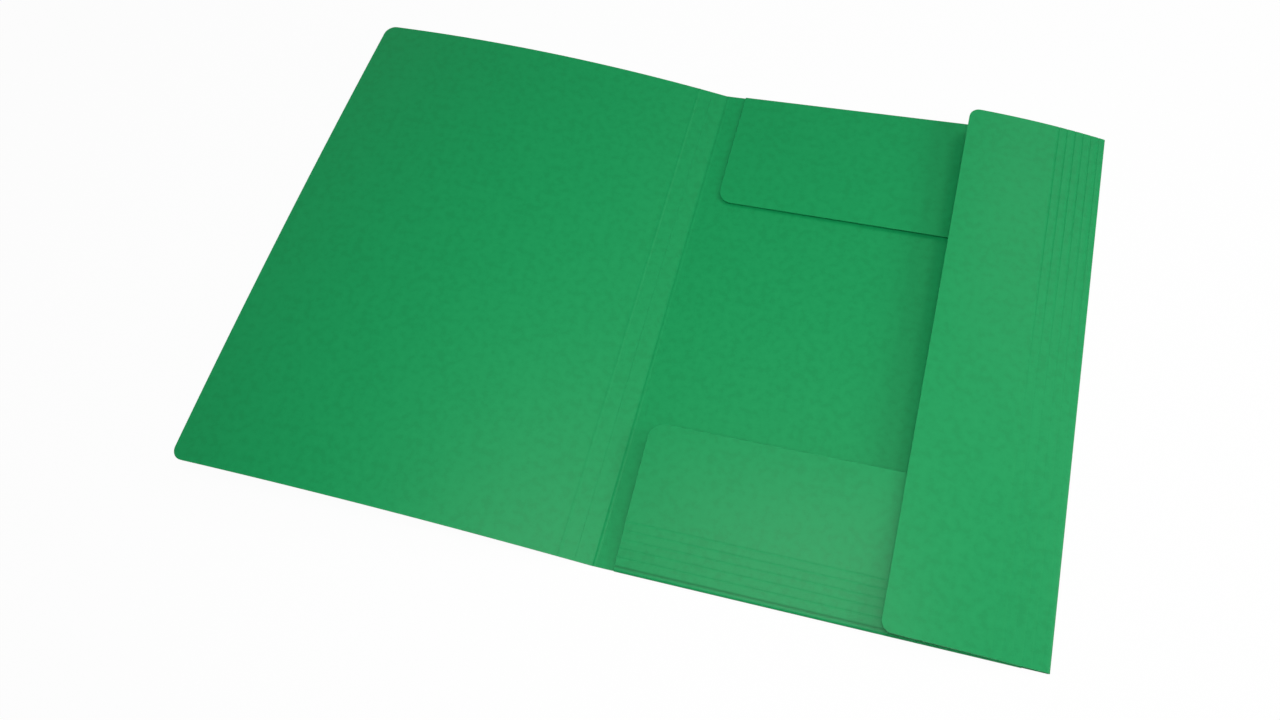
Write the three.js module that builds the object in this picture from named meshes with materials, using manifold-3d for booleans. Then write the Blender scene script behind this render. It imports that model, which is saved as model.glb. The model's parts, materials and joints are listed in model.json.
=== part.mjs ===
// Three flap folder for A4 papers: one sheet of mottled green pressboard, die-cut, creased and folded.
//
// The back panel lies flat. A narrow spine and the front cover spring up from its left fold, and the
// side flap is folded over from its right fold. The top and bottom flaps are folded in from the two
// short ends, under the side flap, and stay one piece with the back panel. The sheet is parted only
// along the three creases that open: back to spine, spine to cover, and back to side flap.
//
// Millimetres, +Z up, +X from the cover to the side flap, +Y from the near end to the far end.

import * as THREE from "three";
import { mergeVertices } from "three/addons/utils/BufferGeometryUtils.js";
import Module from "manifold-3d";

// Board
const boardThickness = 0.5;
const creaseGap = 0.4; // width of the parting along a crease that opens

// Back panel and spine
const panelWidth = 240;
const panelHeight = 320;
const spineWidth = 20;

// Front cover, measured from the crease beside the spine. Its free edge is cut a little out of square.
const coverWidthNear = 235;
const coverWidthFar = 222.8;
const coverCornerRadius = 7;
const coverSlope = 0.26; // slope at the spine fold, rise over run
const coverBendNear = 0.00111; // loss of slope for each mm away from the fold
const coverBendFar = 0.001;
const coverCrown = 2.8; // how far the middle of the free edge stands above its corners

// Rolled folds of the three flaps
const foldRadius = 0.9; // inside radius
const foldProud = 0.4; // how far the roll stands out past the panel's cut edge

// Side flap
const sideFlapDepth = 83;
const sideFlapCornerRadius = 8;
const sideFlapSlopeNear = 0.166;
const sideFlapSlopeFar = 0.28;
const sideFlapBendNear = 0.00132;
const sideFlapBendFar = 0.00214;
const sideFlapKnuckle = 0.3; // clearance between its roll and the hollowed edge of the back panel

// Top and bottom flaps
const endFlapDepth = 83.5;
const endFlapInset = 13.1; // from the panel's side edges to the flap's side edges
const endFlapCornerRadius = 9;
const reliefGap = 0.3; // slit beside each end of an end flap's fold
const topFlapSkew = 0.018; // its free edge is cut this much out of square
const topFlapSlopeLeft = 0.02;
const topFlapSlopeRight = 0.035;
const topFlapBend = 0.0003;
const bottomFlapSlope = 0.13;
const bottomFlapSlopePressed = 0.02; // where the side flap holds it down
const bottomFlapBend = 0.00102;
const pressedFrom = 150; // distance from the spine fold at which the side flap starts to hold it down

// Creases pressed beside the folds, so that the flaps can be squared up for a thicker pile
const sideFlapCreases = [3, 8, 12.9, 17.9, 23.1, 28.2]; // distances from the fold
const bottomFlapCreases = [6.5, 11.4, 16.3, 21.3, 26.2];
const creaseHalfWidth = 0.7;
const creaseDepth = 0.22;

// Facets
const coverSpacing = 9; // between lines of vertices across the cover
const flapSpacing = 8;
const rollFacets = 8;
const cornerFacets = 6;
const rows = 16;

const boardColour = 0x28955a;
const boardRoughness = 0.55;

const halfBoard = boardThickness / 2;
const halfGap = creaseGap / 2;
const foldHeight = boardThickness + foldRadius; // height of a roll's centre line
const foldOutside = foldRadius + boardThickness;
const foldInset = foldOutside - foldProud; // from the panel's edge back to a roll's centre line

const wasm = await Module();
wasm.setup();

function toManifold(geometry) {
  const bare = geometry.clone();
  bare.deleteAttribute("normal");
  bare.deleteAttribute("uv");
  const merged = mergeVertices(bare, 1e-4);
  const vertProperties = new Float32Array(merged.attributes.position.array);
  const triVerts = new Uint32Array(merged.index.array);
  return new wasm.Manifold(new wasm.Mesh({ numProp: 3, vertProperties, triVerts }));
}

function fromManifold(solid) {
  const mesh = solid.getMesh();
  const geometry = new THREE.BufferGeometry();
  geometry.setAttribute("position", new THREE.BufferAttribute(new Float32Array(mesh.vertProperties), 3));
  geometry.setIndex(new THREE.BufferAttribute(new Uint32Array(mesh.triVerts), 1));
  geometry.computeVertexNormals();
  return geometry;
}

// Run and rise of a sheet that leaves a fold with some slope and loses part of it over each mm.
function spring(u, slope, bend) {
  const squareSlope = slope * slope * u - slope * bend * u * u + (bend * bend * u * u * u) / 3;
  return { run: u - squareSlope / 2, rise: slope * u - (bend * u * u) / 2, tilt: slope - bend * u };
}

// Half round grooves on the outside face, each with its bead on the inside face.
function creaseRelief(u, creases) {
  let relief = 0;
  for (const centre of creases) {
    const offset = (u - centre) / creaseHalfWidth;
    if (Math.abs(offset) < 1) {
      relief -= (creaseDepth * (1 + Math.cos(Math.PI * offset))) / 2;
    }
  }
  return relief;
}

// Section through a rolled flap: how far a point lies inward of the roll's centre line, and its height.
// u below 0 runs round the roll, from -1 under the fold to 0, and u above 0 is the distance along the
// flap. h is the distance from the middle of the board, outward.
function rolledSection(u, h, slope, bend) {
  const tiltAtFold = Math.atan(slope);
  if (u < 0) {
    const angle = -Math.PI / 2 + (u + 1) * (Math.PI - tiltAtFold);
    const radius = foldRadius + halfBoard + h;
    return { inward: -radius * Math.cos(angle), height: foldHeight + radius * Math.sin(angle) };
  }
  const { run, rise, tilt } = spring(u, slope, bend);
  const angle = Math.atan(tilt);
  const start = foldRadius + halfBoard;
  return {
    inward: -start * Math.sin(tiltAtFold) + run - h * Math.sin(angle),
    height: foldHeight + start * Math.cos(tiltAtFold) + rise + h * Math.cos(angle),
  };
}

// Distances from a fold at which a sheet needs a line of vertices: evenly spaced, closer round the
// free corners, and at each crease's edges and bottom.
function stationsAlong(first, last, spacing, cornerRadius, creases) {
  const stations = [first];
  const steps = Math.ceil((last - cornerRadius - first) / spacing);
  for (let i = 1; i <= steps; i += 1) {
    stations.push(first + ((last - cornerRadius - first) * i) / steps);
  }
  for (let i = 1; i <= cornerFacets; i += 1) {
    stations.push(last - cornerRadius + cornerRadius * Math.sin((Math.PI / 2) * (i / cornerFacets)));
  }
  for (const centre of creases) {
    for (const part of [-1, -0.5, 0, 0.5, 1]) {
      stations.push(centre + part * creaseHalfWidth);
    }
  }
  stations.sort((a, b) => a - b);
  return stations.filter((u, i) => i === 0 || u - stations[i - 1] > 0.05);
}

// How far a rounded free corner draws the sheet's side edge in, at distance u from the fold.
function cornerInset(u, last, cornerRadius) {
  const past = Math.max(0, u - (last - cornerRadius));
  return cornerRadius - Math.sqrt(Math.max(0, cornerRadius * cornerRadius - past * past));
}

// A closed sheet of board over a grid: one line of vertices for each station, on both faces, with
// place(u, v, h) giving the point at u from the fold, v along it and h outward of the board's middle.
function sheetGeometry(stations, spanAt, place) {
  const positions = [];
  for (const side of [halfBoard, -halfBoard]) {
    for (const u of stations) {
      const [start, end] = spanAt(u);
      for (let j = 0; j <= rows; j += 1) {
        positions.push(...place(u, start + ((end - start) * j) / rows, side));
      }
    }
  }
  const last = stations.length - 1;
  const perSide = stations.length * (rows + 1);
  const at = (side, i, j) => side * perSide + i * (rows + 1) + j;
  const index = [];
  const quad = (a, b, c, d) => index.push(a, b, c, a, c, d);
  for (let i = 0; i < last; i += 1) {
    for (let j = 0; j < rows; j += 1) {
      quad(at(0, i, j), at(0, i + 1, j), at(0, i + 1, j + 1), at(0, i, j + 1));
      quad(at(1, i, j), at(1, i, j + 1), at(1, i + 1, j + 1), at(1, i + 1, j));
    }
    quad(at(0, i, 0), at(1, i, 0), at(1, i + 1, 0), at(0, i + 1, 0));
    quad(at(0, i, rows), at(0, i + 1, rows), at(1, i + 1, rows), at(1, i, rows));
  }
  for (let j = 0; j < rows; j += 1) {
    quad(at(0, 0, j), at(0, 0, j + 1), at(1, 0, j + 1), at(1, 0, j));
    quad(at(0, last, j), at(1, last, j), at(1, last, j + 1), at(0, last, j + 1));
  }
  const geometry = new THREE.BufferGeometry();
  geometry.setAttribute("position", new THREE.Float32BufferAttribute(positions, 3));
  geometry.setIndex(index);
  return faceOutward(geometry);
}

// Turns every triangle over if the closed surface encloses a negative volume.
function faceOutward(geometry) {
  const p = geometry.attributes.position;
  const index = geometry.index.array;
  const [a, b, c] = [new THREE.Vector3(), new THREE.Vector3(), new THREE.Vector3()];
  let volume = 0;
  for (let i = 0; i < index.length; i += 3) {
    a.fromBufferAttribute(p, index[i]);
    b.fromBufferAttribute(p, index[i + 1]);
    c.fromBufferAttribute(p, index[i + 2]);
    volume += a.dot(b.cross(c));
  }
  if (volume < 0) {
    for (let i = 0; i < index.length; i += 3) {
      [index[i], index[i + 1]] = [index[i + 1], index[i]];
    }
  }
  geometry.computeVertexNormals();
  return geometry;
}

function rollStations() {
  return Array.from({ length: rollFacets }, (_, i) => -1 + i / rollFacets);
}

// Spine and cover are one springing sheet on the far side of the spine fold. Its upper face passes
// through the fold line, and v is a share of the folder's height, 0 near and 1 far.
function coverPoint(u, v, h) {
  const { run, rise, tilt } = spring(u, coverSlope, THREE.MathUtils.lerp(coverBendNear, coverBendFar, v));
  const meanWidth = spineWidth + (coverWidthNear + coverWidthFar) / 2;
  const share = Math.max(0, u - spineWidth) / (meanWidth - spineWidth);
  const crown = coverCrown * share * share * (1 - (2 * v - 1) ** 2);
  const angle = Math.atan(tilt);
  const inFromUpperFace = h - halfBoard;
  return [
    -run + inFromUpperFace * Math.sin(angle),
    v * panelHeight,
    boardThickness + rise + crown + inFromUpperFace * Math.cos(angle),
  ];
}

function spineGeometry() {
  const stations = [halfGap, spineWidth / 2, spineWidth - halfGap];
  return sheetGeometry(stations, () => [0, 1], coverPoint);
}

// The grid's stations are shares of the mean width, and each row is stretched to its own width, so the
// free edge runs straight from the near width to the far one.
function frontCoverGeometry() {
  const meanWidth = (coverWidthNear + coverWidthFar) / 2;
  const stations = stationsAlong(halfGap, meanWidth, coverSpacing, coverCornerRadius, []);
  const spanAt = (u) => {
    const inset = cornerInset(u, meanWidth, coverCornerRadius) / panelHeight;
    return [inset, 1 - inset];
  };
  const place = (u, v, h) => {
    const width = THREE.MathUtils.lerp(coverWidthNear, coverWidthFar, v);
    const stretched = halfGap + ((u - halfGap) * (width - halfGap)) / (meanWidth - halfGap);
    return coverPoint(spineWidth + stretched, v, h);
  };
  return sheetGeometry(stations, spanAt, place);
}

function sideFlapGeometry() {
  const flat = stationsAlong(0, sideFlapDepth, flapSpacing, sideFlapCornerRadius, sideFlapCreases);
  const stations = [...rollStations(), ...flat];
  const spanAt = (u) => {
    const inset = cornerInset(u, sideFlapDepth, sideFlapCornerRadius) / panelHeight;
    return [inset, 1 - inset];
  };
  const place = (u, v, h) => {
    const slope = THREE.MathUtils.lerp(sideFlapSlopeNear, sideFlapSlopeFar, v);
    const bend = THREE.MathUtils.lerp(sideFlapBendNear, sideFlapBendFar, v);
    const { inward, height } = rolledSection(u, h + creaseRelief(u, sideFlapCreases), slope, bend);
    return [panelWidth - foldInset - inward, v * panelHeight, height];
  };
  return sheetGeometry(stations, spanAt, place);
}

// The end flaps start a little inside the panel's plate, so that the two join into one solid.
function endFlapGeometry(creases, skew, slopeAt, bendAt, placeAt) {
  const left = endFlapInset;
  const right = panelWidth - endFlapInset;
  const flat = stationsAlong(0, endFlapDepth, flapSpacing, endFlapCornerRadius, creases);
  const stations = [-1 - foldRadius, ...rollStations(), ...flat];
  const spanAt = (u) => {
    const inset = cornerInset(u, endFlapDepth, endFlapCornerRadius);
    return [left + inset, right - inset];
  };
  const place = (u, x, h) => {
    if (u < -1) {
      return placeAt(x, { inward: foldRadius, height: halfBoard + h });
    }
    const stretched = u > 0 ? u * (1 + (skew * (x - panelWidth / 2)) / endFlapDepth) : u;
    return placeAt(x, rolledSection(stretched, h + creaseRelief(u, creases), slopeAt(x), bendAt(x)));
  };
  return sheetGeometry(stations, spanAt, place);
}

function topFlapGeometry() {
  const slopeAt = (x) => THREE.MathUtils.lerp(topFlapSlopeLeft, topFlapSlopeRight, x / panelWidth);
  const placeAt = (x, { inward, height }) => [x, panelHeight - foldInset - inward, height];
  return endFlapGeometry([], topFlapSkew, slopeAt, () => topFlapBend, placeAt);
}

function bottomFlapGeometry() {
  const right = panelWidth - endFlapInset;
  const pressed = (x) => THREE.MathUtils.smoothstep(x, pressedFrom, right);
  const slopeAt = (x) => THREE.MathUtils.lerp(bottomFlapSlope, bottomFlapSlopePressed, pressed(x));
  const bendAt = (x) => bottomFlapBend * (slopeAt(x) / bottomFlapSlope);
  const placeAt = (x, { inward, height }) => [x, foldInset + inward, height];
  return endFlapGeometry(bottomFlapCreases, 0, slopeAt, bendAt, placeAt);
}

// The panel's plate: its full length beside the end flaps' folds, and stopped short at the folds,
// where the rolls carry on from it.
function backPlateGeometry() {
  const outline = new THREE.Shape();
  const slitLeft = endFlapInset - reliefGap;
  const slitRight = panelWidth - endFlapInset + reliefGap;
  outline.moveTo(halfGap, 0);
  outline.lineTo(slitLeft, 0);
  outline.lineTo(slitLeft, foldInset);
  outline.lineTo(slitRight, foldInset);
  outline.lineTo(slitRight, 0);
  outline.lineTo(panelWidth, 0);
  outline.lineTo(panelWidth, panelHeight);
  outline.lineTo(slitRight, panelHeight);
  outline.lineTo(slitRight, panelHeight - foldInset);
  outline.lineTo(slitLeft, panelHeight - foldInset);
  outline.lineTo(slitLeft, panelHeight);
  outline.lineTo(halfGap, panelHeight);
  outline.closePath();
  return new THREE.ExtrudeGeometry(outline, { depth: boardThickness, bevelEnabled: false });
}

// A round bar on the side flap's fold line, which hollows the panel's edge to clear the turning roll.
function knuckleGeometry() {
  const radius = foldOutside + sideFlapKnuckle;
  const bar = new THREE.CylinderGeometry(radius, radius, panelHeight + 2, 32);
  bar.translate(panelWidth - foldInset, panelHeight / 2, foldHeight);
  return bar;
}

// What lies right of the fold line belongs to the side flap's roll.
function beyondFoldGeometry() {
  const beyond = new THREE.BoxGeometry(2 * foldInset, panelHeight + 2, 2 * foldOutside);
  beyond.translate(panelWidth, panelHeight / 2, 0);
  return beyond;
}

function backCoverGeometry() {
  const solid = toManifold(backPlateGeometry())
    .subtract(toManifold(knuckleGeometry()))
    .subtract(toManifold(beyondFoldGeometry()))
    .add(toManifold(topFlapGeometry()))
    .add(toManifold(bottomFlapGeometry()));
  return fromManifold(solid);
}

function boardMaterial() {
  return new THREE.MeshStandardMaterial({ color: boardColour, roughness: boardRoughness, metalness: 0 });
}

const group = new THREE.Group();

function addPiece(name, geometry) {
  const mesh = new THREE.Mesh(geometry, boardMaterial());
  mesh.name = name;
  group.add(mesh);
}

addPiece("back_cover", backCoverGeometry());
addPiece("spine", spineGeometry());
addPiece("front_cover", frontCoverGeometry());
addPiece("side_flap", sideFlapGeometry());

// The origin is the middle of the open folder's footprint, on the surface that it lies on.
const bounds = new THREE.Box3().setFromObject(group);
const middle = bounds.getCenter(new THREE.Vector3());
group.position.set(-middle.x, -middle.y, -bounds.min.z);

export default group;
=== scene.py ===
# A three flap folder of mottled green pressboard, lying open on a pale table.
#
# The board is one sheet. It is built here as three sheets that each run on over a fold, so that the
# folds bend: the back panel with its end flaps and half the spine, the other half of the spine with the
# cover, and the side flap with its rolled fold. They meet edge to edge.
#
# Metres, +Z up, +X from the cover to the side flap, +Y from the near end to the far end.

import json
from typing import NamedTuple

import bpy
import numpy as np
from bpy.props import FloatProperty, FloatVectorProperty, PointerProperty
from mathutils import Matrix, Vector


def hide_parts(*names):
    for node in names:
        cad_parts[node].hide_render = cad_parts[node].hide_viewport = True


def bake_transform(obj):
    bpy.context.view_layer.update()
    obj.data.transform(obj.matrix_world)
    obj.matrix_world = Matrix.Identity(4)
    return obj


bl_info = {
    "name": "Three flap folder",
    "version": (1, 0, 0),
    "blender": (4, 5, 0),
    "location": "3D View > Sidebar > Folder",
    "description": "Dresses an open pressboard folder in its board, its folds and its pressed creases",
    "category": "Object",
}

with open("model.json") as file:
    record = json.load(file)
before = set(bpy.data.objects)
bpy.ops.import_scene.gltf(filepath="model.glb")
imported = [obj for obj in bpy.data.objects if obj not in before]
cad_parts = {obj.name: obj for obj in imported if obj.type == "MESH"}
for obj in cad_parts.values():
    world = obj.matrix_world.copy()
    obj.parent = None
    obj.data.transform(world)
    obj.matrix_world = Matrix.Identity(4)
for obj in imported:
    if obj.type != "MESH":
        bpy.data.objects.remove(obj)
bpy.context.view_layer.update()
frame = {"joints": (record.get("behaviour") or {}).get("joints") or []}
JOINTS = {joint["name"]: joint for joint in frame["joints"]}
FOLD_X = JOINTS["spine_fold"]["pos_m"][0]
HINGE_X = JOINTS["side_fold"]["pos_m"][0]

SPINE_SEAM = 0.010  # the back sheet and the cover sheet meet here, in the middle of the spine
MARGIN_SEAM = HINGE_X - FOLD_X  # the back sheet and the side flap's sheet meet here, under its roll
ROLL_STEPS = 14  # facets round a rolled fold

VERTEX_SPACING = 0.004  # between lines of vertices on a plain stretch of board
FLAP_SPACING = 0.003
MARGIN_SPACING = 0.0035  # between the panel's side edges and the end flaps
BESIDE_ROLL_SPACING = 0.001  # where the panel runs on beside the end flaps' rolls
SPINE_SPACING = 0.0012
FOLD_SPACING = 0.0002  # on the panel beside the spine fold, as far as FOLD_ZONE
FOLD_ZONE = 0.0026
MERGE_DISTANCE = 1e-5  # points closer than this become one
REPEAT_DISTANCE = 2e-5  # lines of vertices closer than this are one line
CUT_EDGE_ANGLE = 50  # degrees; a sharper turn than this is a cut edge

FOLD_BEAD = 0.0013  # from the spine fold to the bead on the panel
COVER_BEAD = 0.0010  # from the cover's fold to the bead on the spine
BEAD_HALF_WIDTH = 0.0012
BEAD_HEIGHT = 0.00010
COVER_FOLD_HALF = 0.0012  # half the width of a band about the fold between spine and cover, at whose edges the cover's operator takes two points that are not used
STRETCH_FROM = 0.003  # from the cover's fold to where its rows start to stretch to the free edge
STRETCH_OVER = 0.02

SIDE_CREASES = (0.0030, 0.0080, 0.0129, 0.0179, 0.0231, 0.0282)
BOTTOM_CREASES = (0.0015, 0.0065, 0.0114, 0.0163, 0.0213, 0.0262)
CREASE_DEPTH = 0.00022
CREASE_HALF_WIDTH = 0.0007
FOLD_CREASE = BOTTOM_CREASES[0]  # the painted shade is darkest along it, where the bottom flap leaves its roll
END_CREASE_SHARE = 0.4  # depth of an end flap's creases, as a share of CREASE_DEPTH

# Depth of the side flap's creases as a share of CREASE_DEPTH: CREASE_GROWTH times the square of the
# share of the height, and at least CREASE_LEAST
CREASE_GROWTH = 1.4
CREASE_LEAST = 0.1


class FolderBoard(bpy.types.PropertyGroup):
    """Sizes of the die-cut sheet"""

    thickness: FloatProperty(
        name="Board thickness",
        description="Thickness of the pressboard",
        default=0.0005,
        unit="LENGTH",
        precision=5,
    )
    height: FloatProperty(
        name="Panel height",
        description="Length of the folds beside the back panel",
        default=0.32,
        unit="LENGTH",
    )
    width: FloatProperty(
        name="Panel width",
        description="Distance between the spine fold and the side flap's fold",
        default=0.24,
        unit="LENGTH",
    )
    spine: FloatProperty(
        name="Spine width",
        description="Distance between the spine's two folds",
        default=0.02,
        unit="LENGTH",
    )
    cover_near: FloatProperty(
        name="Cover width, near",
        description="Width of the front cover at its near end",
        default=0.235,
        unit="LENGTH",
    )
    cover_far: FloatProperty(
        name="Cover width, far",
        description="Width of the front cover at its far end",
        default=0.2228,
        unit="LENGTH",
    )
    cover_corner: FloatProperty(
        name="Cover corner radius",
        description="Radius of the cover's two free corners",
        default=0.007,
        unit="LENGTH",
    )
    side_depth: FloatProperty(
        name="Side flap depth",
        description="Distance from the side flap's fold to its free edge",
        default=0.083,
        unit="LENGTH",
    )
    end_depth: FloatProperty(
        name="End flap depth",
        description="Distance from a top or bottom flap's fold to its free edge",
        default=0.0835,
        unit="LENGTH",
    )
    side_corner: FloatProperty(
        name="Side flap corner radius",
        description="Radius of the side flap's two free corners",
        default=0.006,
        unit="LENGTH",
    )
    end_corner: FloatProperty(
        name="End flap corner radius",
        description="Radius of the free corners of the top and bottom flaps",
        default=0.009,
        unit="LENGTH",
    )
    end_inset: FloatProperty(
        name="End flap inset",
        description="Distance from the panel's side edges to the end flaps",
        default=0.0131,
        unit="LENGTH",
    )
    slit: FloatProperty(
        name="Relief slit",
        description="Slit cut beside each end of an end flap's fold",
        default=0.0003,
        unit="LENGTH",
        precision=5,
    )
    fold_radius: FloatProperty(
        name="Fold radius",
        description="Inside radius of the flaps' rolled folds",
        default=0.0009,
        unit="LENGTH",
        precision=5,
    )
    top_radius: FloatProperty(
        name="Top fold radius",
        description="Inside radius of the top flap's fold, which is pressed flatter than the others",
        default=0.0004,
        unit="LENGTH",
        precision=5,
    )
    fold_proud: FloatProperty(
        name="Fold overhang",
        description="How far a rolled fold stands out past the panel's cut edge",
        default=0.0004,
        unit="LENGTH",
        precision=5,
    )
    bevel: FloatProperty(
        name="Edge softness",
        description="Width of the soft corner along the cut edges",
        default=0.00008,
        unit="LENGTH",
        precision=6,
    )


class FolderSpring(bpy.types.PropertyGroup):
    """How the folded parts of the board spring up"""

    cover_slope: FloatProperty(
        name="Cover slope",
        description="Rise over run of the spine and cover at the spine fold",
        default=0.26,
    )
    cover_bend_near: FloatProperty(
        name="Cover bend, near",
        description="Slope lost over each metre away from the spine fold, at the near end",
        default=1.11,
    )
    cover_bend_far: FloatProperty(
        name="Cover bend, far",
        description="Slope lost over each metre away from the spine fold, at the far end",
        default=1.0,
    )
    cover_crown: FloatProperty(
        name="Cover crown",
        description="How far the middle of the cover's free edge stands above its corners",
        default=0.0028,
        unit="LENGTH",
    )
    side_slope_near: FloatProperty(
        name="Side flap slope, near",
        description="Rise over run of the side flap at its fold, near end",
        default=0.166,
    )
    side_slope_far: FloatProperty(
        name="Side flap slope, far",
        description="Rise over run of the side flap at its fold, far end",
        default=0.28,
    )
    side_bend_near: FloatProperty(
        name="Side flap bend, near",
        description="Slope lost over each metre away from the fold, near end",
        default=1.32,
    )
    side_bend_far: FloatProperty(
        name="Side flap bend, far",
        description="Slope lost over each metre away from the fold, far end",
        default=2.14,
    )
    top_slope_left: FloatProperty(
        name="Top flap slope, left",
        description="Rise over run of the top flap at its fold, beside the spine",
        default=0.02,
    )
    top_slope_right: FloatProperty(
        name="Top flap slope, right",
        description="Rise over run of the top flap at its fold, under the side flap",
        default=0.035,
    )
    top_bend: FloatProperty(
        name="Top flap bend",
        description="Slope lost over each metre away from the fold",
        default=0.3,
    )
    top_skew: FloatProperty(
        name="Top flap skew",
        description="How much the top flap's free edge is cut out of square",
        default=0.018,
    )
    bottom_slope: FloatProperty(
        name="Bottom flap slope",
        description="Rise over run of the bottom flap at its fold where it is free",
        default=0.13,
    )
    bottom_slope_pressed: FloatProperty(
        name="Bottom flap slope, held",
        description="The same where the side flap holds it down",
        default=0.02,
    )
    bottom_bend: FloatProperty(
        name="Bottom flap bend",
        description="Slope lost over each metre away from the fold",
        default=1.02,
    )
    pressed_from: FloatProperty(
        name="Held down from",
        description="Distance from the spine fold at which the side flap starts to hold the "
        "bottom flap",
        default=0.15,
        unit="LENGTH",
    )


class FolderFinish(bpy.types.PropertyGroup):
    """Colours and surface of the pressboard, and the painted shade along its creases and beside its
    fold beads
    """

    green: FloatVectorProperty(
        name="Board green",
        description="Main colour of the board",
        subtype="COLOR",
        size=3,
        min=0.0,
        max=1.0,
        default=(0.0025, 0.290, 0.0830),
    )
    dark: FloatVectorProperty(
        name="Dark fibres",
        description="Colour of the darker clouds in the board",
        subtype="COLOR",
        size=3,
        min=0.0,
        max=1.0,
        default=(0.0020, 0.272, 0.0765),
    )
    light: FloatVectorProperty(
        name="Light fibres",
        description="Colour of the lighter clouds in the board",
        subtype="COLOR",
        size=3,
        min=0.0,
        max=1.0,
        default=(0.0040, 0.303, 0.0880),
    )
    # Painted shade: the colour towards which the board is darkened along its creases and beside its
    # fold beads, where shade falls
    pressed: FloatVectorProperty(
        name="Pressed green",
        description="Colour towards which the board darkens in a pressed line",
        subtype="COLOR",
        size=3,
        min=0.0,
        max=1.0,
        default=(0.0, 0.060, 0.014),
    )
    # How far the painted shade along the creases and beside the fold beads darkens the board
    crease_shade: FloatProperty(
        name="Crease shade",
        description="How much darker the board is in a pressed line",
        default=0.16,
    )
    roughness: FloatProperty(
        name="Roughness",
        description="Roughness of the varnish",
        default=0.48,
    )
    cloud_size: FloatProperty(
        name="Cloud size",
        description="Size of the mottled clouds",
        default=0.0045,
        unit="LENGTH",
        precision=4,
    )


class Value:
    """A node socket that takes part in arithmetic; each operation adds a Math node."""

    def __init__(self, graph, socket):
        self.graph = graph
        self.socket = socket

    def _math(self, operation, first, second=None):
        inputs = {0: first} if second is None else {0: first, 1: second}
        return self.graph.node("ShaderNodeMath", {"operation": operation}, inputs)

    def __add__(self, other):
        return self._math("ADD", self, other)

    def __sub__(self, other):
        return self._math("SUBTRACT", self, other)

    def __rsub__(self, other):
        return self._math("SUBTRACT", other, self)

    def __mul__(self, other):
        return self._math("MULTIPLY", self, other)

    def __truediv__(self, other):
        return self._math("DIVIDE", self, other)

    __radd__ = __add__

    def absolute(self):
        return self._math("ABSOLUTE", self)

    def at_least(self, other):
        return self._math("MAXIMUM", self, other)

    def at_most(self, other):
        return self._math("MINIMUM", self, other)


class Graph:
    """A material's node tree, cleared, with one method that adds any node."""

    def __init__(self, tree):
        self.tree = tree
        tree.nodes.clear()

    def node(self, kind, settings=None, inputs=None, output=0):
        made = self.tree.nodes.new(kind)
        for name, setting in (settings or {}).items():
            if name == "stops":
                ramp = made.color_ramp
                for stop, (position, colour) in zip(ramp.elements, setting):
                    stop.position = position
                    stop.color = colour
                for position, colour in setting[len(ramp.elements):]:
                    ramp.elements.new(position).color = colour
            else:
                setattr(made, name, setting)
        for name, given in (inputs or {}).items():
            if isinstance(given, Value):
                self.tree.links.new(given.socket, made.inputs[name])
            else:
                made.inputs[name].default_value = given
        return Value(self, made.outputs[output]) if made.outputs else None

    def outputs(self, kind, inputs=None):
        """Every output of a node, for the few that are read at more than one."""
        first = self.node(kind, {}, inputs)
        return [Value(self, socket) for socket in first.socket.node.outputs]

    def blend(self, factor, first, second):
        """A mix of two colours."""
        settings = {"data_type": "RGBA", "blend_type": "MIX"}
        return self.node("ShaderNodeMix", settings, {0: factor, 6: first, 7: second}, output=2)


def opaque(colour):
    """A colour with its alpha."""
    return (*colour, 1.0)


def spring(u, slope, bend):
    """Run, rise and tilt at distance u from a fold, for a sheet that leaves it with some slope and
    loses bend of it over each metre. Tilt is slope - bend u, rise is its integral, and run is u less
    half the integral of tilt squared."""
    square = slope**2 * u - slope * bend * u**2 + bend**2 * u**3 / 3
    return u - square / 2, slope * u - bend * u**2 / 2, slope - bend * u


def cosine_ridge(distance, half_width):
    """A ridge with a half wave of cosine on each side: (1 + cos(pi d / w)) / 2 within w, and 0
    outside."""
    inside = np.clip(np.abs(distance) / half_width, 0, 1)
    return (1 + np.cos(np.pi * inside)) / 2


def eased(value, start, length):
    """0 up to start and 1 from start + length on, with the smooth step x x (3 - 2 x) between them."""
    share = np.clip((value - start) / length, 0, 1)
    return share * share * (3 - 2 * share)


def spaced(first, last, spacing):
    """Evenly spaced values from first to last, both included, about as far apart as asked."""
    return np.linspace(first, last, max(1, int(np.ceil(abs(last - first) / spacing))) + 1)


def joined(*runs):
    """Sorted values of several runs, with those that nearly repeat left out."""
    values = np.sort(np.concatenate([np.atleast_1d(np.asarray(run, float)) for run in runs]))
    return values[np.concatenate([[True], np.diff(values) > REPEAT_DISTANCE])]


def around(centres, half_width, count=4):
    """Lines of vertices across each pressed crease: evenly spaced from edge to edge."""
    steps = np.linspace(-1, 1, 2 * count + 1) * half_width
    return (np.asarray(centres)[:, None] + steps[None, :]).ravel()


def rounded_end(last, radius, count=8):
    """Distances from a fold along a rounded corner: equal angles round the quarter circle."""
    return last - radius + radius * np.sin(np.linspace(0, np.pi / 2, count + 1))


def corner_inset(u, last, radius):
    """How far a rounded corner draws a side edge in at distance u: R - sqrt(R^2 - d^2), where d is how
    far u is past the corner's start."""
    past = np.clip(u - (last - radius), 0, radius)
    return radius - np.sqrt(np.maximum(radius**2 - past**2, 0))


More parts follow.
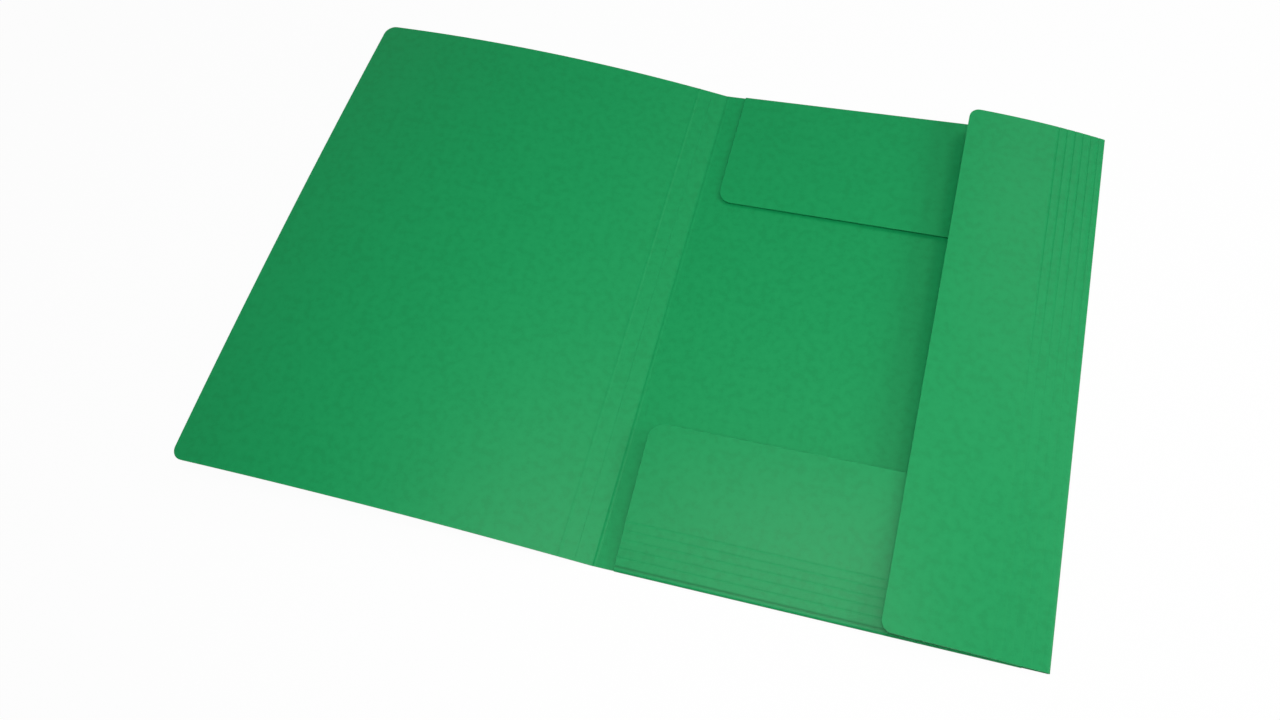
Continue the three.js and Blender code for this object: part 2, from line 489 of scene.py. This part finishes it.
class Patches:
    """Grids of points with their place in the flat blank, which merge into one sheet along shared
    edges."""

    def __init__(self):
        self.points = []
        self.blank = []
        self.faces = []
        self.count = 0

    def add(self, points, blank):
        """points is rows x columns x 3, and blank rows x columns x 2."""
        rows, columns = points.shape[:2]
        index = self.count + np.arange(rows * columns).reshape(rows, columns)
        quads = np.stack([index[:-1, :-1], index[1:, :-1], index[1:, 1:], index[:-1, 1:]], axis=-1)
        self.points.append(points.reshape(-1, 3))
        self.blank.append(blank.reshape(-1, 2))
        self.faces.append(quads.reshape(-1, 4))
        self.count += rows * columns

    def object(self, name, material, board):
        """The merged sheet as an object. Solidify and Bevel give it the board's thickness and its soft
        cut edges."""
        points = np.concatenate(self.points)
        blank = np.concatenate(self.blank)
        faces = np.concatenate(self.faces)
        rounded = np.round(points / MERGE_DISTANCE)
        _, first, same = np.unique(rounded, axis=0, return_index=True, return_inverse=True)
        faces = same.reshape(-1)[faces]
        mesh = bpy.data.meshes.new(name)
        mesh.from_pydata(points[first].tolist(), [], faces.tolist())
        layer = mesh.uv_layers.new(name="blank")
        corners = np.empty(len(mesh.loops), dtype=np.int32)
        mesh.loops.foreach_get("vertex_index", corners)
        layer.data.foreach_set("uv", blank[first][corners].astype(np.float32).ravel())
        mesh.polygons.foreach_set("use_smooth", np.ones(len(mesh.polygons), dtype=bool))
        mesh.materials.append(material)
        mesh.update()
        made = bpy.data.objects.new(name, mesh)
        bpy.context.scene.collection.objects.link(made)
        wall = made.modifiers.new("board", "SOLIDIFY")
        wall.thickness = board.thickness
        wall.offset = 0
        edge = made.modifiers.new("cut edge", "BEVEL")
        edge.width = board.bevel
        edge.segments = 2
        edge.limit_method = "ANGLE"
        edge.angle_limit = np.radians(CUT_EDGE_ANGLE)
        edge.harden_normals = True
        return made


def columns_along(board):
    """Shares of the folder's height at which a sheet has a line of vertices, 0 near and 1 far."""
    return np.linspace(0, 1, int(board.height / VERTEX_SPACING) + 1)


def fold_relief(x):
    """Height of the bead pressed up beside the spine fold: a cosine ridge on the panel's side of it."""
    return BEAD_HEIGHT * cosine_ridge(x - FOLD_BEAD, BEAD_HALF_WIDTH)


def cover_relief(u, board):
    """Height of the same bead beside the fold between spine and cover, on the spine's side of it."""
    return BEAD_HEIGHT * cosine_ridge(u - (board.spine - COVER_BEAD), BEAD_HALF_WIDTH)


def cover_points(u, v, board, shape):
    """The board's middle surface on the spine and cover. u is the distance from the spine fold and v
    the share of the height. The sheet springs up from the fold, and on the cover a crown is added that
    grows with the square of the distance from the cover's fold and is a parabola in v."""
    bend = shape.cover_bend_near + (shape.cover_bend_far - shape.cover_bend_near) * v
    run, rise, tilt = spring(u, shape.cover_slope, bend)
    mean = (board.cover_near + board.cover_far) / 2
    share = np.maximum(0, u - board.spine) / mean
    crown = shape.cover_crown * share**2 * (1 - (2 * v - 1) ** 2)
    angle = np.arctan(tilt)
    inward = cover_relief(u, board) - board.thickness / 2
    x = FOLD_X - run + inward * np.sin(angle)
    y = (v - 0.5) * board.height
    z = board.thickness + rise + crown + inward * np.cos(angle)
    return np.stack(np.broadcast_arrays(x, y, z), axis=-1)


def rolled(u, h, slope, bend, radius, thickness):
    """Section through a rolled flap: how far a point lies in from the roll's centre line, and its
    height. u from -1 to 0 runs round the roll, from under the fold to its top, at the angle that goes
    from straight down to the flap's own tilt, and u above 0 is the distance along the springing flap.
    h is the distance out from the board's middle surface."""
    centre = thickness + radius
    start = radius + thickness / 2
    at_fold = np.arctan(slope)
    turn = -np.pi / 2 + (np.minimum(u, 0) + 1) * (np.pi - at_fold)
    run, rise, tilt = spring(np.maximum(u, 0), slope, bend)
    angle = np.arctan(tilt)
    on_flap = u > 0
    inward = np.where(
        on_flap,
        -start * np.sin(at_fold) + run - h * np.sin(angle),
        -(start + h) * np.cos(turn),
    )
    height = np.where(
        on_flap,
        centre + start * np.cos(at_fold) + rise + h * np.cos(angle),
        centre + (start + h) * np.sin(turn),
    )
    return inward, height


def crease_relief(u, creases):
    """Depth of the pressed creases: a cosine groove on the flap's outside face at each of them."""
    return -CREASE_DEPTH * sum(cosine_ridge(u - centre, CREASE_HALF_WIDTH) for centre in creases)


def flap_stations(depth, corner, creases):
    """Distances from a flap's fold at which it has a line of vertices, the roll's as -1 to 0 first."""
    flat = joined(
        spaced(0, depth - corner, FLAP_SPACING),
        rounded_end(depth, corner),
        around(creases, CREASE_HALF_WIDTH) if len(creases) else [],
    )
    roll = np.linspace(-1, 0, ROLL_STEPS + 1)[:-1]
    return np.concatenate([roll, flat])


def roll_length(radius, thickness):
    """Length of the board's middle surface round a roll: half a turn."""
    return np.pi * (radius + thickness / 2)


def blank_distance(u, radius, thickness):
    """Distance from the start of a roll in the flat blank, for u as rolled() takes it."""
    length = roll_length(radius, thickness)
    return np.where(u > 0, length + u, (np.minimum(u, 0) + 1) * length)


def end_flap(board, radius, creases, skew, slope_at, bend_at, columns):
    """A top or bottom flap's distance in from the roll's centre line, height, x and place in the blank.
    Each line across it keeps the shared columns at its fold and is drawn in at the rounded corners."""
    u = flap_stations(board.end_depth, board.end_corner, creases)[:, None]
    middle = board.width / 2
    half = middle - board.end_inset
    inset = corner_inset(u, board.end_depth, board.end_corner)
    x = middle + (columns[None, :] - middle) * (half - inset) / half
    stretched = np.where(u > 0, u * (1 + skew * (x - middle) / board.end_depth), u)
    relief = END_CREASE_SHARE * crease_relief(u, creases)
    inward, height = rolled(stretched, relief, slope_at(x), bend_at(x), radius, board.thickness)
    return inward, height, x, blank_distance(stretched, radius, board.thickness)


def panel_columns(board):
    """Lines of vertices across the panel: close beside the spine fold, and on the end flaps' edges."""
    left, right = board.end_inset, board.width - board.end_inset
    return joined(
        spaced(FOLD_SPACING, FOLD_ZONE, FOLD_SPACING),
        spaced(FOLD_ZONE, left - board.slit, MARGIN_SPACING),
        spaced(left, right, VERTEX_SPACING),
        spaced(right + board.slit, MARGIN_SEAM, MARGIN_SPACING),
    )


def back_sheet(material, board, shape):
    """The back panel, the half of the spine beside it, and the end flaps. The panel is a plane at half
    the board's thickness, with the bead beside the spine fold. It ends at the end flaps' rolls, which
    share their first line of points with it, and runs on beside them to the cut edges. The spine shares
    the panel's first line of points in the same way."""
    sheet = Patches()
    half_height = board.height / 2
    near = board.fold_radius + board.thickness - board.fold_proud - half_height
    far = half_height - board.top_radius - board.thickness + board.fold_proud / 2
    columns = panel_columns(board)
    left, right = board.end_inset, board.width - board.end_inset

    def plane(x, y):
        xs, ys = np.meshgrid(x, y)
        z = board.thickness / 2 + fold_relief(xs)
        points = np.stack([FOLD_X + xs, ys, z], axis=-1)
        sheet.add(points, np.stack([xs, ys], axis=-1))

    plane(columns, spaced(near, far, VERTEX_SPACING))
    beside_left = columns[columns < left - board.slit + MERGE_DISTANCE]
    beside_right = columns[columns > right + board.slit - MERGE_DISTANCE]
    for x in (beside_left, beside_right):
        plane(x, spaced(-half_height, near, BESIDE_ROLL_SPACING))
        plane(x, spaced(far, half_height, BESIDE_ROLL_SPACING))

    rows = np.concatenate([[-half_height], spaced(near, far, VERTEX_SPACING), [half_height]])
    share = rows / board.height + 0.5
    strip = spaced(0, SPINE_SEAM, SPINE_SPACING)
    u, v = np.meshgrid(strip, share)
    spine_points = cover_points(u, v, board, shape)
    first_column = np.stack(
        [
            np.full_like(rows, FOLD_X + columns[0]),
            rows,
            np.full_like(rows, board.thickness / 2 + fold_relief(columns[0])),
        ],
        axis=-1,
    )
    points = np.concatenate([spine_points[:, ::-1], first_column[:, None]], axis=1)
    flat = np.concatenate([-strip[::-1], columns[:1]])
    blank = np.stack(np.meshgrid(flat, rows), axis=-1)
    sheet.add(points, blank)

    flap_columns = columns[(columns > left - MERGE_DISTANCE) & (columns < right + MERGE_DISTANCE)]

    def bottom_slope(x):
        held = eased(x, shape.pressed_from, right - shape.pressed_from)
        return shape.bottom_slope + (shape.bottom_slope_pressed - shape.bottom_slope) * held

    def bottom_bend(x):
        return shape.bottom_bend * bottom_slope(x) / shape.bottom_slope

    def top_slope(x):
        return shape.top_slope_left + (shape.top_slope_right - shape.top_slope_left) * x / board.width

    def top_bend(x):
        return np.full_like(x, shape.top_bend)

    inward, height, x, along = end_flap(
        board, board.fold_radius, BOTTOM_CREASES, 0, bottom_slope, bottom_bend, flap_columns
    )
    points = np.stack([FOLD_X + x, near + inward, height], axis=-1)
    blank = np.stack([x, near - along], axis=-1)
    sheet.add(points[::-1], blank[::-1])

    inward, height, x, along = end_flap(
        board, board.top_radius, (), shape.top_skew, top_slope, top_bend, flap_columns
    )
    points = np.stack([FOLD_X + x, far - inward, height], axis=-1)
    blank = np.stack([x, far + along], axis=-1)
    sheet.add(points, blank)
    return sheet.object("back_sheet", material, board)


def cover_sheet(material, board, shape):
    """The half of the spine beside the cover, and the front cover: lines of vertices at distances from
    the spine fold, each row stretched so that the free edge runs straight from the near width to the
    far one."""
    mean = (board.cover_near + board.cover_far) / 2
    bead = around([board.spine - COVER_BEAD], BEAD_HALF_WIDTH, 5)
    strip = joined(spaced(SPINE_SEAM, board.spine, SPINE_SPACING), bead)
    plain = spaced(0, mean - board.cover_corner, VERTEX_SPACING)
    flat = joined(plain, rounded_end(mean, board.cover_corner))
    u = joined(strip, board.spine + flat)[:, None]
    v = columns_along(board)[None, :]
    past = np.maximum(0, u - board.spine)
    inset = corner_inset(past, mean, board.cover_corner) / board.height
    v = inset + (1 - 2 * inset) * v
    width = board.cover_near + (board.cover_far - board.cover_near) * v
    u = u + past * (width / mean - 1) * eased(past, STRETCH_FROM, STRETCH_OVER)
    points = cover_points(u, v, board, shape)
    sheet = Patches()
    blank = np.stack([-u + 0 * v, (v - 0.5) * board.height + 0 * u], axis=-1)
    sheet.add(points, blank)
    return sheet.object("cover_sheet", material, board)


def flap_sheet(material, board, shape):
    """The rolled fold and the side flap, as rolled() gives them, with a slope and a bend that change
    evenly from its near end to its far end."""
    u = flap_stations(board.side_depth, board.side_corner, SIDE_CREASES)[:, None]
    v = columns_along(board)[None, :]
    inset = corner_inset(u, board.side_depth, board.side_corner) / board.height
    v = inset + (1 - 2 * inset) * v
    slope = shape.side_slope_near + (shape.side_slope_far - shape.side_slope_near) * v
    bend = shape.side_bend_near + (shape.side_bend_far - shape.side_bend_near) * v
    relief = crease_relief(u, SIDE_CREASES) * np.clip(CREASE_GROWTH * v**2, CREASE_LEAST, 1)
    inward, height = rolled(u + 0 * v, relief, slope, bend, board.fold_radius, board.thickness)
    y = (v - 0.5) * board.height
    points = np.stack([HINGE_X - inward, y, height], axis=-1)
    along = blank_distance(u, board.fold_radius, board.thickness)
    blank = np.stack([MARGIN_SEAM + along + 0 * v, y], axis=-1)
    sheet = Patches()
    sheet.add(points, blank)
    return sheet.object("flap_sheet", material, board)


def line_mask(distance, centres, half_width):
    """1 on each of several parallel lines, falling straight to 0 at half_width from it."""
    total = None
    for centre in centres:
        near = 1 - (distance - centre).absolute() / half_width
        near = near.at_least(0.0)
        total = near if total is None else total.at_least(near)
    return total


class Noise(NamedTuple):
    """One of the three noises that make up the mottle"""

    frequency: float  # how many times finer than the finish's cloud size
    detail: float
    roughness: float
    share: float  # how much of it goes into the mottle


CLOUDS = Noise(1.0, 2.0, 0.5, 1.3)
DRIFTS = Noise(0.18, 2.0, 0.5, 0.4)
FIBRES = Noise(5.0, 3.0, 0.6, 0.6)
MOTTLE_STOPS = (0.30, 0.46, 0.75)  # where the mottle is the dark, the main and the light green


class CreaseShadeLine(NamedTuple):
    """A line of painted shade along a crease"""

    half_width: float
    darkness: float  # as a share of the finish's crease shade


# Lines of painted shade, which darken the board where shade falls in the creases and on the shaded side
# of the fold beads
SIDE_LINE_HALF_WIDTH = 0.0005
FOLD_LINE = CreaseShadeLine(0.0004, 0.4)
BOTTOM_LINE = CreaseShadeLine(0.00045, 0.2)
DEEP_LINE = CreaseShadeLine(0.0011, 3.2)  # the darkest painted shade, in the crease along FOLD_CREASE
PANEL_LINE_SHIFT = 0.0008  # from the bead on the panel to the painted shade on its shaded side
SPINE_LINE_SHIFT = 0.0009  # from the bead on the spine to the painted shade on its shaded side

ROUGHNESS_VARIATION = 0.05
SPECULAR_LEVEL = 0.22
BUMP_STRENGTH = 0.12
BUMP_DISTANCE = 0.0002


def pressboard(finish, board):
    """Mottled pressboard: three scales of noise in the colour, painted shade along the creases and
    beside the fold beads, a satin varnish whose roughness follows the clouds, and a fine bump that
    follows the fibres."""
    material = bpy.data.materials.new("pressboard green")
    material.use_nodes = True
    graph = Graph(material.node_tree)
    blank = graph.node("ShaderNodeUVMap", {"uv_map": "blank"})

    def noise(kind):
        inputs = {
            "Vector": blank,
            "Scale": kind.frequency / finish.cloud_size,
            "Detail": kind.detail,
            "Roughness": kind.roughness,
        }
        return graph.node("ShaderNodeTexNoise", {"noise_dimensions": "3D"}, inputs)

    clouds, drifts, fibres = noise(CLOUDS), noise(DRIFTS), noise(FIBRES)
    mottle = (clouds - 0.5) * CLOUDS.share + (drifts - 0.5) * DRIFTS.share
    mottle = mottle + (fibres - 0.5) * FIBRES.share + 0.5
    greens = [opaque(colour) for colour in (finish.dark, finish.green, finish.light)]
    stops = list(zip(MOTTLE_STOPS, greens))
    colour = graph.node("ShaderNodeValToRGB", {"stops": stops}, {"Fac": mottle})
    # Painted shade: lines of it darken the board along the side and bottom flaps' creases and on the
    # shaded side of the fold beads
    across, along = graph.outputs("ShaderNodeSeparateXYZ", {0: blank})[:2]
    roll = roll_length(board.fold_radius, board.thickness)
    side_lines = [MARGIN_SEAM + roll + crease for crease in SIDE_CREASES]
    share = along / board.height + 0.5
    # the side flap's painted crease shade grows as CREASE_GROWTH times the square of the share of the
    # height
    growth = (share * share * CREASE_GROWTH).at_most(1.0)
    lines = line_mask(across, side_lines, SIDE_LINE_HALF_WIDTH) * growth
    fold_lines = [FOLD_BEAD - PANEL_LINE_SHIFT, COVER_BEAD - board.spine - SPINE_LINE_SHIFT]
    lines = lines.at_least(line_mask(across, fold_lines, FOLD_LINE.half_width) * FOLD_LINE.darkness)
    end = board.height / 2 - (board.fold_radius + board.thickness - board.fold_proud)
    bottom_lines = [-end - roll - crease for crease in BOTTOM_CREASES]
    bottom = line_mask(along, bottom_lines, BOTTOM_LINE.half_width)
    lines = lines.at_least(bottom * BOTTOM_LINE.darkness)
    deep = line_mask(along, [-end - roll - FOLD_CREASE], DEEP_LINE.half_width)
    lines = lines.at_least(deep * DEEP_LINE.darkness)
    # the painted shade mixes the mottled colour towards the dark pressed green
    shaded = graph.blend(lines * finish.crease_shade, colour, opaque(finish.pressed))
    bump = graph.node(
        "ShaderNodeBump",
        {},
        {"Strength": BUMP_STRENGTH, "Distance": BUMP_DISTANCE, "Height": fibres},
    )
    surface = graph.node(
        "ShaderNodeBsdfPrincipled",
        {},
        {
            "Base Color": shaded,
            "Roughness": finish.roughness + (clouds - 0.5) * ROUGHNESS_VARIATION,
            "Normal": bump,
            "Specular IOR Level": SPECULAR_LEVEL,
        },
    )
    graph.node("ShaderNodeOutputMaterial", {}, {"Surface": surface})
    return material


WHITE = (1.0, 1.0, 1.0, 1.0)
TABLE_REFLECTANCE = (0.9, 0.9, 0.9, 1.0)
TABLE_GLOW = 0.96  # share of what is seen of the table that is plain white and takes no shadow
TABLE_REACH = 3  # from the table's middle to its edges


def table_white():
    """Pale table: white to the camera and to reflections, with a share of plain diffuse white that
    keeps the folder's shadow."""
    material = bpy.data.materials.new("pale table")
    material.use_nodes = True
    graph = Graph(material.node_tree)
    plain = graph.node("ShaderNodeBsdfDiffuse", {}, {"Color": TABLE_REFLECTANCE})
    bright = graph.node("ShaderNodeEmission", {}, {"Color": WHITE, "Strength": 1.0})
    glow = seen_rays(graph) * TABLE_GLOW
    mixed = graph.node("ShaderNodeMixShader", {}, {0: glow, 1: plain, 2: bright})
    graph.node("ShaderNodeOutputMaterial", {}, {"Surface": mixed})
    return material


def seen_rays(graph):
    """1 for rays from the camera, from a gloss or through a glass, 0 for the rest."""
    rays = {value.socket.name: value for value in graph.outputs("ShaderNodeLightPath")}
    seen = rays["Is Camera Ray"].at_least(rays["Is Glossy Ray"])
    return seen.at_least(rays["Is Transmission Ray"])


def studio_world(strength):
    """An even pale room: its light on the board is plain grey, and what is seen of it is white."""
    world = bpy.data.worlds.new("studio")
    world.use_nodes = True
    graph = Graph(world.node_tree)
    fill = graph.node("ShaderNodeBackground", {}, {"Color": WHITE, "Strength": strength})
    white = graph.node("ShaderNodeBackground", {}, {"Color": WHITE, "Strength": 1.0})
    mixed = graph.node("ShaderNodeMixShader", {}, {0: seen_rays(graph), 1: fill, 2: white})
    graph.node("ShaderNodeOutputWorld", {}, {"Surface": mixed})
    bpy.context.scene.world = world


class Lamp(NamedTuple):
    """A square soft light that faces the folder's middle"""

    place: tuple
    size: float
    power: float  # watts


LAMPS = {
    "key": Lamp((0.6, 0.6, 0.9), 0.35, 2.45),
    "near": Lamp((0.09, -0.18, 0.62), 0.3, 2.7),
    "side": Lamp((0.8, 0.0, 0.4), 0.3, 2.1),
}
WORLD_STRENGTH = 0.11


def area_lamp(name, lamp):
    """One of the lamps as a light in the scene."""
    data = bpy.data.lights.new(name, "AREA")
    data.shape = "SQUARE"
    data.size = lamp.size
    data.energy = lamp.power
    light = bpy.data.objects.new(name, data)
    bpy.context.scene.collection.objects.link(light)
    turn = (-Vector(lamp.place)).to_track_quat("-Z", "Y").to_matrix().to_4x4()
    light.matrix_world = Matrix.Translation(lamp.place) @ turn


CAMERA_ANGLES = (30.0065, 62.6954, -17.4424)  # azimuth, elevation and roll in degrees
CAMERA_PLACE = (0.15546, -0.24379, 0.54944)  # x is counted from the spine fold
CAMERA_LENS = 28.6668  # millimetres
SENSOR_WIDTH = 36.0  # millimetres
CAMERA_SHIFT = (-0.03802, -0.04035)  # puts the picture's centre where the photograph has it
CLIP_START = 0.01


def aim_camera():
    """The photograph's view. The camera stands in the direction with its azimuth and elevation, looks
    back along it, and is rolled about it."""
    azimuth, elevation, roll = np.radians(CAMERA_ANGLES)
    back = np.array(
        [np.sin(azimuth) * np.cos(elevation), -np.cos(azimuth) * np.cos(elevation), np.sin(elevation)]
    )
    level = np.cross(-back, [0, 0, 1])
    level /= np.linalg.norm(level)
    upward = np.cross(level, -back)
    right = level * np.cos(roll) + upward * np.sin(roll)
    up = upward * np.cos(roll) - level * np.sin(roll)
    data = bpy.data.cameras.new("camera")
    data.sensor_fit = "HORIZONTAL"
    data.sensor_width = SENSOR_WIDTH
    data.lens = CAMERA_LENS
    data.shift_x, data.shift_y = CAMERA_SHIFT
    data.clip_start = CLIP_START
    camera = bpy.data.objects.new("camera", data)
    bpy.context.scene.collection.objects.link(camera)
    turn = Matrix(np.column_stack([right, up, back]).tolist()).to_4x4()
    x, y, z = CAMERA_PLACE
    camera.matrix_world = Matrix.Translation((FOLD_X + x, y, z)) @ turn
    bpy.context.scene.camera = camera


def settings():
    """The scene's board, spring and finish."""
    scene = bpy.context.scene
    return scene.folder_board, scene.folder_spring, scene.folder_finish


def board_material():
    """The one pressboard finish, made the first time that a piece asks for it."""
    board, _, finish = settings()
    return bpy.data.materials.get("pressboard green") or pressboard(finish, board)


class FOLDER_OT_back(bpy.types.Operator):
    """Make the back panel with its end flaps and the half of the spine beside it"""

    bl_idname = "folder.back"
    bl_label = "Back panel and end flaps"

    def execute(self, context):
        board, shape, _ = settings()
        piece = back_sheet(board_material(), board, shape)
        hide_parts("back_cover", "spine")
        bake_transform(piece)
        return {"FINISHED"}


class FOLDER_OT_cover(bpy.types.Operator):
    """Make the front cover with the half of the spine beside it"""

    bl_idname = "folder.cover"
    bl_label = "Front cover"

    def execute(self, context):
        board, shape, _ = settings()
        piece = cover_sheet(board_material(), board, shape)
        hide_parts("front_cover")
        beside = np.array([board.spine - COVER_FOLD_HALF, board.spine + COVER_FOLD_HALF])
        crease = cover_points(beside, 0.5, board, shape)
        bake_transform(piece)
        return {"FINISHED"}


class FOLDER_OT_side_flap(bpy.types.Operator):
    """Make the side flap with its rolled fold"""

    bl_idname = "folder.side_flap"
    bl_label = "Side flap"

    def execute(self, context):
        board, shape, _ = settings()
        piece = flap_sheet(board_material(), board, shape)
        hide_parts("side_flap")
        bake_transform(piece)
        return {"FINISHED"}


class FOLDER_OT_stage(bpy.types.Operator):
    """Set out the table, the lamps, the world and the camera"""

    bl_idname = "folder.stage"
    bl_label = "Stage"

    def execute(self, context):
        mesh = bpy.data.meshes.new("table")
        reach = TABLE_REACH
        corners = [(-reach, -reach, 0), (reach, -reach, 0), (reach, reach, 0), (-reach, reach, 0)]
        mesh.from_pydata(corners, [], [(0, 1, 2, 3)])
        mesh.materials.append(table_white())
        table = bpy.data.objects.new("table", mesh)
        context.scene.collection.objects.link(table)
        for name, lamp in LAMPS.items():
            area_lamp(name, lamp)
        studio_world(WORLD_STRENGTH)
        aim_camera()
        context.scene.view_settings.view_transform = "Standard"
        return {"FINISHED"}


class FOLDER_PT_panel(bpy.types.Panel):
    bl_idname = "FOLDER_PT_panel"
    bl_label = "Three flap folder"
    bl_space_type = "VIEW_3D"
    bl_region_type = "UI"
    bl_category = "Folder"

    def draw(self, context):
        for group in settings():
            box = self.layout.box()
            for name in group.bl_rna.properties.keys():
                if name not in {"rna_type", "name"}:
                    box.prop(group, name)
        for operator in OPERATORS:
            self.layout.operator(operator.bl_idname)


OPERATORS = (FOLDER_OT_back, FOLDER_OT_cover, FOLDER_OT_side_flap, FOLDER_OT_stage)
CLASSES = (FolderBoard, FolderSpring, FolderFinish, *OPERATORS, FOLDER_PT_panel)


def register():
    for item in CLASSES:
        bpy.utils.register_class(item)
    bpy.types.Scene.folder_board = PointerProperty(type=FolderBoard)
    bpy.types.Scene.folder_spring = PointerProperty(type=FolderSpring)
    bpy.types.Scene.folder_finish = PointerProperty(type=FolderFinish)


def unregister():
    del bpy.types.Scene.folder_finish
    del bpy.types.Scene.folder_spring
    del bpy.types.Scene.folder_board
    for item in reversed(CLASSES):
        bpy.utils.unregister_class(item)


def main():
    register()
    bpy.ops.folder.stage()
    bpy.ops.folder.back()
    bpy.ops.folder.cover()
    bpy.ops.folder.side_flap()


if __name__ == "__main__":
    main()
